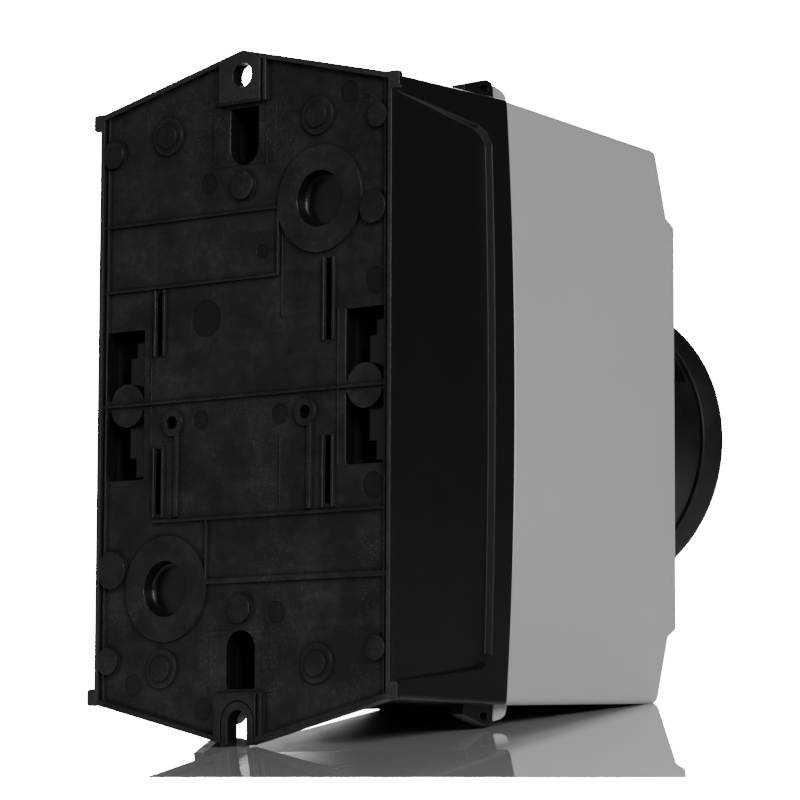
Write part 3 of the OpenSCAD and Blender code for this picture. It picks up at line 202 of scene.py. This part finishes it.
def black_base():
    """Black moulding: fine grain, pale smudges, specks and crumbs on the rear face, rubbed edges made
    paler partly as wear and partly as a painted highlight, worn contact faces at the wall plane, duller,
    darker marks where the ejector pins pushed, painted shade darkening the nooks beside the ribs and
    bosses, and painted shade making the deep pockets near black."""
    # Depths of the rear sheet, the faces that touch the wall, the pin marks and the pockets, whose insides
    # get painted shade
    rear_d, wall_d, pin_low, pin_high, pocket_shade_d = 2.2, 0.06, 1.4, 1.5, 5.2
    # Where the rim begins and where the hollow behind the sheet ends, across and up
    rim_x, rim_z, hollow_x, hollow_z = 49.3, 79.2, 48.4, 79.4
    # How far up the inner slots lie, and how far the crumbs reach round them
    slot_z, slot_reach_x, slot_reach_z = 70, 17, 13

    f = Finish("black moulded base", IOR=1.46, Specular_IOR_Level=0.42)
    turn, rounded = f.edges(0.5)
    y, far, tall = f.axis("Y"), abs(f.axis("X")), abs(f.axis("Z"))
    normal = f.node("TexCoord", out="Normal")
    faces_wall = f.levels(f.node("SeparateXYZ", sockets={"Vector": normal}, out="Y"), (0.45, 0.0), (0.9, 1.0))
    rear = y.over(-rear_d) * faces_wall
    at_wall = y.over(-wall_d)
    rim = at_wall * far.over(rim_x).most(f.axis("Z").over(rim_z))
    pin_mark = y.over(-pin_high) * (1 - y.over(-pin_low))
    # Painted shade: inside the deep pockets the base colour is made near black and the roughness high,
    # standing in for the shade of their depth
    pocket_shade = (1 - y.over(-pocket_shade_d)) * (1 - far.over(hollow_x)) * (1 - tall.over(hollow_z))
    cloud = f.levels(f.noise(15, 6, 0.66), (0.4, 0.0), (0.66, 1.0))
    speck = f.levels(f.noise(2.1, 5, 0.7), (0.48, 0.0), (0.74, 1.0))
    streak = f.levels(f.noise(9, 4, 0.7, (0.25, 1.0, 1.6)), (0.5, 0.0), (0.72, 1.0))
    patches = f.levels(f.noise(24, 3, 0.6, (1.0, 1.0, 0.8)), (0.5, 0.0), (0.64, 1.0))
    from_slot = (far / slot_reach_x) ** 2 + ((tall - slot_z) / slot_reach_z) ** 2
    by_slots = f.levels(from_slot / 2, (0.4, 1.0), (0.75, 0.0))
    by_corner = f.levels((far + tall * 0.5) / 100, (0.66, 0.0), (0.76, 1.0))
    crumbs = f.levels(f.noise(0.7, 3, 0.75), (0.54, 0.0), (0.64, 1.0)) * (
        (patches + by_slots * 0.8 + by_corner * 0.5) * (cloud * 0.6 + 0.5) + rim * 0.5 + 0.1).kept()
    dust = (cloud * 0.42 + cloud * speck * 0.7 + streak * 0.26).kept()
    # Paler, smoother edges: partly rubbed wear and partly a painted highlight along the ribs and rims
    pale_edge = f.levels(turn, (0.02, 0.0), (0.3, 1.0)) * (1 - pocket_shade)
    share = (dust * (rear * 0.6 + 0.03) + pale_edge * (rear * 0.35 + 0.12) + rim * 0.35
             + crumbs * rear * 0.9).kept() * (1 - pin_mark * 0.8)
    grain = f.noise(0.42, 2, 0.5) * 0.5 + f.noise(1.5, 3, 0.6) * 0.35 + crumbs * rear * 2.2
    gloss = (cloud * 0.5 + cloud * speck * 0.5 + streak * 0.22).kept()
    # Painted shade: the base colour is darkened, and the surface made rougher, in the nooks beside ribs and
    # bosses where the surface is closed in
    nook_shade = f.nooks(1.7, (0.07, 0.0), (0.36, 1.0)) * y.over(-rear_d)
    rough = 0.33 + rear * (0.1 - gloss * 0.135) - pale_edge * rear * 0.1 + crumbs * 0.1
    rough = rough + pin_mark * 0.1 + at_wall * 0.05 + pocket_shade * 0.6 + nook_shade * 0.6
    share = share * (1 - nook_shade * 0.8)
    colour = f.mix(share, (0.0044, 0.0044, 0.0048, 1), (0.05, 0.05, 0.051, 1))
    return f.wear(
        # The near-black base colour in the pockets is painted shade
        Base_Color=f.mix(pocket_shade, colour, (0.001, 0.001, 0.001, 1)),
        Roughness=rough.kept(),
        Normal=f.relief(grain, 0.03, rounded))


def black_knob():
    """Black moulding of the handle: smoother, with faint finger marks and slightly rubbed edges."""
    f = Finish("black moulded knob", IOR=1.46, Specular_IOR_Level=0.33)
    turn, rounded = f.edges(0.4)
    print_marks = f.levels(f.noise(11, 5, 0.6), (0.42, 0.0), (0.75, 1.0))
    grain = f.noise(0.35, 2, 0.5)
    pale_edge = f.levels(turn, (0.02, 0.0), (0.3, 1.0))
    share = (print_marks * 0.12 + pale_edge * 0.1).kept()
    return f.wear(
        Base_Color=f.mix(share, (0.004, 0.004, 0.0042, 1), (0.028, 0.028, 0.029, 1)),
        Roughness=(0.43 + print_marks * 0.12 + pale_edge * 0.15).kept(),
        Normal=f.relief(grain, 0.02, rounded))


def grey_cover():
    """Light grey moulding: spark-eroded grain, faint clouding, and a painted highlight, pale and less
    rough, along the edge in the middle of its seam."""
    # Only what lies behind this depth is near the seam, and the painted highlight on its edge is strongest at
    # this height
    seam_d, highlight_z = 58, -1
    f = Finish("light grey moulded cover", IOR=1.46, Specular_IOR_Level=0.35)
    turn, rounded = f.edges(0.7)
    cloud = f.noise(38, 4, 0.5)
    scuff = f.levels(f.noise(6, 6, 0.72, (1.0, 0.35, 1.0)), (0.6, 0.0), (0.82, 1.0))
    grain = f.noise(0.38, 2, 0.55)
    share = (cloud * 0.4 + scuff * 0.2 + grain * 0.12).kept()
    mid_height = f.levels(abs(f.axis("Z") - highlight_z) / 100, (0.2, 1.0), (0.5, 0.0))
    # Painted highlight: the cover's rear edge by the seam is made pale and smoother, as if catching light
    seam_highlight = f.levels(turn, (0.004, 0.0), (0.04, 1.0)) * f.axis("Y").over(-seam_d) * mid_height
    colour = f.mix(share, (0.37, 0.37, 0.356, 1), (0.334, 0.334, 0.32, 1))
    return f.wear(
        # The pale edge mixed in here is a painted highlight
        Base_Color=f.mix(seam_highlight, colour, (0.8, 0.8, 0.78, 1)),
        Roughness=(0.5 + scuff * 0.12 + grain * 0.08 - seam_highlight * 0.2).kept(),
        Normal=f.relief(grain, 0.03, rounded))


def plated_steel():
    """Zinc plate: fine drawn lines, slight yellow and blue clouding, and softened edges."""
    f = Finish("bright zinc plate", Metallic=1.0)
    rounded = f.edges(0.15)[1]
    lines = f.noise(0.5, 3, 0.6, (1.0, 0.12, 1.0))
    cloud = f.noise(4, 3, 0.5)
    return f.wear(
        Base_Color=f.mix(cloud, (0.55, 0.55, 0.53, 1), (0.66, 0.68, 0.7, 1)),
        Roughness=(0.26 + lines * 0.16).kept(),
        Normal=f.relief(lines, 0.008, rounded))


def bare_metal(name, low, high, rough):
    """Machined or rolled metal with faint lines and a little tarnish."""
    f = Finish(name, Metallic=1.0)
    lines = f.noise(0.4, 3, 0.6, (1.0, 1.0, 0.15))
    tarnish = f.levels(f.noise(3, 5, 0.65), (0.4, 0.0), (0.8, 1.0))
    return f.wear(
        Base_Color=f.mix(tarnish, (*high, 1), (*low, 1)),
        Roughness=(rough + tarnish * 0.15 + lines * 0.08).kept(),
        Normal=f.relief(lines, 0.006))


def plain_moulding(name, low, high, rough=0.5):
    """Inner moulding: flow clouding and a fine grain."""
    f = Finish(name, IOR=1.48)
    cloud = f.noise(6, 4, 0.6, (1.0, 1.0, 0.4))
    grain = f.noise(0.3, 2, 0.5)
    return f.wear(
        Base_Color=f.mix(cloud, (*low, 1), (*high, 1)),
        Roughness=(rough + grain * 0.12).kept(),
        Normal=f.relief(grain, 0.015))


def soft_seal():
    """Black foam rubber with open pores."""
    f = Finish("black seal rubber", IOR=1.4)
    pores = f.levels(f.noise(0.3, 2, 0.5), (0.35, 0.0), (0.6, 1.0))
    return f.wear(
        Base_Color=f.mix(pores, (0.006, 0.006, 0.006, 1), (0.02, 0.02, 0.02, 1)),
        Roughness=(0.75 + pores * 0.15).kept(),
        Normal=f.relief(pores, 0.03))


def white_print():
    """White pad print, a little uneven in its cover."""
    f = Finish("white legend", IOR=1.45)
    patch = f.noise(0.8, 3, 0.6)
    return f.wear(
        Base_Color=f.mix(patch, (0.72, 0.72, 0.7, 1), (0.6, 0.6, 0.58, 1)),
        Roughness=(0.45 + patch * 0.1).kept(),
        Normal=f.relief(patch, 0.01))


FINISHES = {
    "black_plastic": black_base(),
    "grey_plastic": grey_cover(),
    "seal_rubber": soft_seal(),
    "zinc_steel": plated_steel(),
    "spring_steel": bare_metal("spring steel", (0.25, 0.24, 0.24), (0.42, 0.43, 0.45), 0.28),
    "contact_copper": bare_metal("contact copper", (0.42, 0.22, 0.13), (0.75, 0.44, 0.3), 0.3),
    "terminal_brass": bare_metal("terminal brass", (0.45, 0.34, 0.14), (0.74, 0.58, 0.28), 0.3),
    "deck_plastic": plain_moulding("dark glass-filled moulding", (0.03, 0.03, 0.033), (0.055, 0.055, 0.06)),
    "cream_plastic": plain_moulding("natural acetal", (0.66, 0.62, 0.49), (0.76, 0.73, 0.6), 0.4),
}
KNOB = black_knob()
WHITE = white_print()
KNOB_NODES = ("handle_collar", "dial_ring", "lock_posts", "rotary_handle", "handle_cap")

slots = {row["node"]: row["material_slot"] for row in frame["record"]["subparts"]}
for name, node in frame["nodes"].items():
    node.data.materials.clear()
    node.data.materials.append(KNOB if name in KNOB_NODES else FINISHES[slots[name]])


# Shapes

def grid_faces(rows, columns, close_rows=True, close_columns=True):
    """Four-sided faces of a grid of points, joined end to end in either direction."""
    i = np.arange(rows if close_rows else rows - 1)
    j = np.arange(columns if close_columns else columns - 1)
    a, b = np.meshgrid(i, j, indexing="ij")
    c, d = (a + 1) % rows, (b + 1) % columns
    return np.stack([a * columns + b, a * columns + d, c * columns + d, c * columns + b], -1).reshape(-1, 4)


def outward(points, faces):
    """Turns every face round if the closed shape's signed volume is below nought."""
    p = points[faces]
    halves = np.cross(p[:, 1], p[:, 2]), np.cross(p[:, 2], p[:, 3])
    volume = np.einsum("ij,ij->", p[:, 0], halves[0]) + np.einsum("ij,ij->", p[:, 0], halves[1])
    return faces[:, ::-1] if volume < 0 else faces


def piece(name, shells, finish, body, stands_for=()):
    """Makes one object of closed shells of four-sided faces, each a pair of points and faces."""
    shells = [(points, outward(points, faces)) for points, faces in shells]
    starts = np.cumsum([0] + [len(points) for points, _ in shells[:-1]])
    points = np.concatenate([points for points, _ in shells]) * MM
    faces = np.concatenate([faces + start for (_, faces), start in zip(shells, starts)])
    mesh = bpy.data.meshes.new(name)
    mesh.vertices.add(len(points))
    mesh.vertices.foreach_set("co", points.astype(np.float32).ravel())
    mesh.loops.add(faces.size)
    mesh.loops.foreach_set("vertex_index", faces.astype(np.int32).ravel())
    mesh.polygons.add(len(faces))
    mesh.polygons.foreach_set("loop_start", np.arange(0, faces.size, 4, dtype=np.int32))
    mesh.update(calc_edges=True)
    mesh.validate()
    mesh.shade_smooth()
    mesh.set_sharp_from_angle(angle=SHARP_ANGLE)
    mesh.materials.append(finish)
    made = bpy.data.objects.new(name, mesh)
    bpy.context.scene.collection.objects.link(made)
    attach(made, body)
    if stands_for:
        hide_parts(*stands_for)


def rounded_loop(corners, steps=6):
    """A closed outline with an arc at each corner. A corner is (x, y, radius): the arc's centre lies
    on the bisector at radius over the sine of half the corner's angle, and the arc runs between the
    two points where it touches the sides."""
    corner = np.array(corners, float)
    here, radius = corner[:, :2], corner[:, 2]
    back = np.roll(here, 1, 0) - here
    ahead = np.roll(here, -1, 0) - here
    back /= np.linalg.norm(back, axis=1, keepdims=True)
    ahead /= np.linalg.norm(ahead, axis=1, keepdims=True)
    half = np.arccos(np.clip((back * ahead).sum(1), -0.9999, 0.9999)) / 2
    centre_way = back + ahead
    centre_way /= np.linalg.norm(centre_way, axis=1, keepdims=True)
    centre = here + centre_way * (radius / np.sin(half))[:, None]
    start = here + back * (radius / np.tan(half))[:, None] - centre
    end = here + ahead * (radius / np.tan(half))[:, None] - centre
    a0 = np.arctan2(start[:, 1], start[:, 0])
    sweep = (np.arctan2(end[:, 1], end[:, 0]) - a0 + np.pi) % (2 * np.pi) - np.pi
    a = a0[:, None] + sweep[:, None] * np.linspace(0, 1, steps)
    arc = centre[:, None] + radius[:, None, None] * np.stack([np.cos(a), np.sin(a)], -1)
    return arc.reshape(-1, 2)


def turned(corners, around=240, steps=6):
    """A ring about the handle's axis: the outline's point (r, d) goes to (r cos t, -d, r sin t)."""
    r, d = rounded_loop(corners, steps).T
    t = np.linspace(0, 2 * np.pi, around, endpoint=False)[:, None]
    points = np.stack([r * np.cos(t), -d + 0 * t, r * np.sin(t)], -1).reshape(-1, 3)
    return points, grid_faces(around, len(r))


def raised(outline, back, front, edge):
    """A flat shape on a face that looks forward: an outline in X and Z carried from one depth to
    another, drawn in by a small edge at its front, and closed by strips between its two halves."""
    n = len(outline)
    middle = outline.mean(0)
    inner = middle + (outline - middle) * (1 - edge / np.abs(outline - middle).max())
    shoulder = front - 0.3 * (front - back)
    rows = [(outline, back), (outline, shoulder), (inner, front)]
    points = np.concatenate([np.column_stack([o[:, 0], np.full(n, -d), o[:, 1]]) for o, d in rows])
    sides = grid_faces(3, n, close_rows=False)
    k = np.arange(n // 2 - 1)
    cap = np.stack([k, k + 1, n - 2 - k, n - 1 - k], -1)
    return points, np.concatenate([sides, cap[:, ::-1], cap + 2 * n])


def bar(x, z, w, h, r):
    """The outline of an upright bar with round corners."""
    return rounded_loop([(x - w / 2, z - h / 2, r), (x + w / 2, z - h / 2, r),
                         (x + w / 2, z + h / 2, r), (x - w / 2, z + h / 2, r)], 5)


def hoop(x, z, w, h, line, back, front, around=48):
    """A numeral nought: an upright ellipse carried round a small rounded oblong section."""
    t = np.linspace(0, 2 * np.pi, around, endpoint=False)[:, None]
    section = rounded_loop([(-line / 2, back, 0.05), (line / 2, back, 0.05),
                            (line / 2, front, 0.05), (-line / 2, front, 0.05)], 3)
    out, d = section.T
    px = x + (w / 2 - line / 2 + out) * np.cos(t)
    pz = z + (h / 2 - line / 2 + out) * np.sin(t)
    return np.stack([px, -d + 0 * t, pz], -1).reshape(-1, 3), grid_faces(around, len(out))


# The dial ring: a flared flange on a neck that sits in the collar, with a sunk band for its legend.
# Its outline runs in radius and depth, with each corner's own radius last
low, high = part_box("dial_ring")
DIAL_R = high.x / MM
DIAL_BACK = -high.y / MM
DIAL_FRONT = -low.y / MM
NECK_R, BORE_R, NECK_LENGTH, FLARE_R = 36.9, 33.0, 2.6, 41.3
RIM_HEIGHT, RIM_DRAFT = 1.5, 0.15
BAND_IN, BAND_OUT, BAND_SLOPE, BAND_SINK = 35.4, 41.8, 0.3, 0.35
BAND_D = DIAL_FRONT - BAND_SINK
ring_outline = [
    (BORE_R, DIAL_BACK, 0.4), (NECK_R, DIAL_BACK, 0.4), (NECK_R, DIAL_BACK + NECK_LENGTH, 0.2),
    (FLARE_R, DIAL_BACK + NECK_LENGTH, 0.5),
    (DIAL_R, DIAL_FRONT - RIM_HEIGHT, 0.7), (DIAL_R - RIM_DRAFT, DIAL_FRONT, 0.6),
    (BAND_OUT + BAND_SLOPE, DIAL_FRONT, 0.25), (BAND_OUT, BAND_D, 0.15), (BAND_IN, BAND_D, 0.15),
    (BAND_IN - BAND_SLOPE, DIAL_FRONT, 0.25), (BORE_R, DIAL_FRONT, 0.45),
]
piece("dial_flange", [turned(ring_outline)], KNOB, "enclosure", ["dial_ring"])

# Legend: a nought at the off place and a bar at the on place, a little let into the band
LEGEND_SINK, LEGEND_RISE, LEGEND_H = 0.1, 0.12, 4.6
LEGEND_BACK, LEGEND_FRONT = BAND_D - LEGEND_SINK, BAND_D + LEGEND_RISE
NOUGHT_X, NOUGHT_W, NOUGHT_LINE = -38.9, 3.0, 0.75
BAR_Z, BAR_W = 38.6, 0.85
piece("dial_legend", [
    hoop(NOUGHT_X, 0, NOUGHT_W, LEGEND_H, NOUGHT_LINE, LEGEND_BACK, LEGEND_FRONT),
    raised(bar(0, BAR_Z, BAR_W, LEGEND_H, 0.2), LEGEND_BACK, LEGEND_FRONT, 0.05),
], WHITE, "enclosure")


# Stage, light and camera

# The camera's place, direction and focal length, fitted to the photo
EYE = Vector((-0.6251, 0.7372, -0.1122))
AHEAD = Vector((0.6087, -0.7852, 0.1143)).normalized()
UP = Vector((-0.0673, 0.0924, 0.9934))
RIGHT = AHEAD.cross(UP).normalized()
UP = RIGHT.cross(AHEAD)
FOCAL_PIXELS, IMAGE_PIXELS, SENSOR = 3685.1, 800, 36.0

lens = bpy.data.cameras.new("photo camera")
lens.sensor_width = SENSOR
lens.lens = FOCAL_PIXELS * SENSOR / IMAGE_PIXELS
lens.clip_start, lens.clip_end = 0.05, 20
camera = bpy.data.objects.new("photo camera", lens)
camera.matrix_world = Matrix.Translation(EYE) @ Matrix((RIGHT, UP, -AHEAD)).transposed().to_4x4()
bpy.context.scene.collection.objects.link(camera)
bpy.context.scene.camera = camera

# The table's plane, and its near edge and its two sides in the picture
FLOOR_WAY = Vector((0, 0.114, 0.9935)).normalized()
FLOOR_POINT = Vector((0, 0, -0.0925))
NEAR_EDGE_ROW, TABLE_LEFT, TABLE_RIGHT = 777.5, -600, 1400


def on_floor(column, row):
    """Where the camera's ray through a pixel meets the floor's plane: the eye plus the ray's direction
    times the eye's height over the plane, divided by how fast the ray sinks."""
    half = IMAGE_PIXELS / 2
    ray = AHEAD + RIGHT * ((column - half) / FOCAL_PIXELS) - UP * ((row - half) / FOCAL_PIXELS)
    return EYE + ray * ((FLOOR_POINT - EYE).dot(FLOOR_WAY) / ray.dot(FLOOR_WAY))


def stage_floor():
    """A pale glossy table top, tilted as the part leans on its lower end. It is a flat slab whose near
    side runs level across the picture and slopes back underneath, so that only its top is seen."""
    left, right = on_floor(TABLE_LEFT, NEAR_EDGE_ROW), on_floor(TABLE_RIGHT, NEAR_EDGE_ROW)
    away = FLOOR_WAY.cross((right - left).normalized())
    deep, thick, slope = 0.62, 0.005, 0.04
    top = [left, right, right + away * deep, left + away * deep]
    middle = sum(top, Vector()) / 4
    under = [corner + (middle - corner).normalized() * slope - FLOOR_WAY * thick for corner in top]
    faces = [(0, 1, 2, 3), (7, 6, 5, 4), (0, 4, 5, 1), (1, 5, 6, 2), (2, 6, 7, 3), (3, 7, 4, 0)]
    mesh = bpy.data.meshes.new("pale table")
    points = np.array([tuple(corner) for corner in top + under])
    mesh.from_pydata(points.tolist(), [], outward(points, np.array(faces)).tolist())
    f = Finish("pale glossy table", IOR=1.5, Coat_Roughness=0.004)
    cloud = f.noise(60, 3, 0.5)
    mesh.materials.append(f.wear(
        Base_Color=f.mix(cloud, (0.92, 0.92, 0.92, 1), (0.96, 0.96, 0.96, 1)),
        Roughness=(0.004 + cloud * 0.008).kept(),
        Coat_Weight=0.75))
    table = bpy.data.objects.new("pale_table", mesh)
    bpy.context.scene.collection.objects.link(table)


def softbox(name, place, target, size, power):
    """A white square area light that faces a target."""
    light = bpy.data.lights.new(name, "AREA")
    light.shape, light.size, light.energy = "SQUARE", size, power
    held = bpy.data.objects.new(name, light)
    held.location = place
    held.rotation_mode = "QUATERNION"
    held.rotation_quaternion = (Vector(target) - Vector(place)).to_track_quat("-Z", "Y")
    bpy.context.scene.collection.objects.link(held)


def backdrop():
    """White where the camera looks and where the table mirrors it, dim studio grey elsewhere. The
    white fades in between two cosines of the angle from the camera's own direction."""
    white_level, dim_level, fade_from, fade_width = 26.0, 0.04, 0.88, 0.07
    world = bpy.data.worlds.new("studio")
    world.use_nodes = True
    bpy.context.scene.world = world
    sky = Shader(world.node_tree)
    way = sky.node("TexCoord", out="Generated")
    ahead = sky.node("VectorMath", {"operation": "DOT_PRODUCT"}, {0: way, 1: tuple(AHEAD)}, out=1)
    white = ((ahead - fade_from) / fade_width).kept()
    seen = sky.node("LightPath", out="Is Camera Ray")
    shade = sky.tree.nodes["Background"]
    shade.inputs["Color"].default_value = (1, 1, 1, 1)
    join(sky.tree, white.most(seen) * (white_level - dim_level) + dim_level, shade.inputs["Strength"])


stage_floor()
backdrop()
softbox("key", place=(-1.1, 0.5, 0.45), target=(0, -0.06, 0), size=0.6, power=15.9)
softbox("rear sheen", place=(0.75, 0.85, 0.05), target=(0, 0, 0), size=0.7, power=0.74)
softbox("rear strip", place=(-0.1, 1.3, 0.2), target=(0, 0, 0), size=0.22, power=1.2)
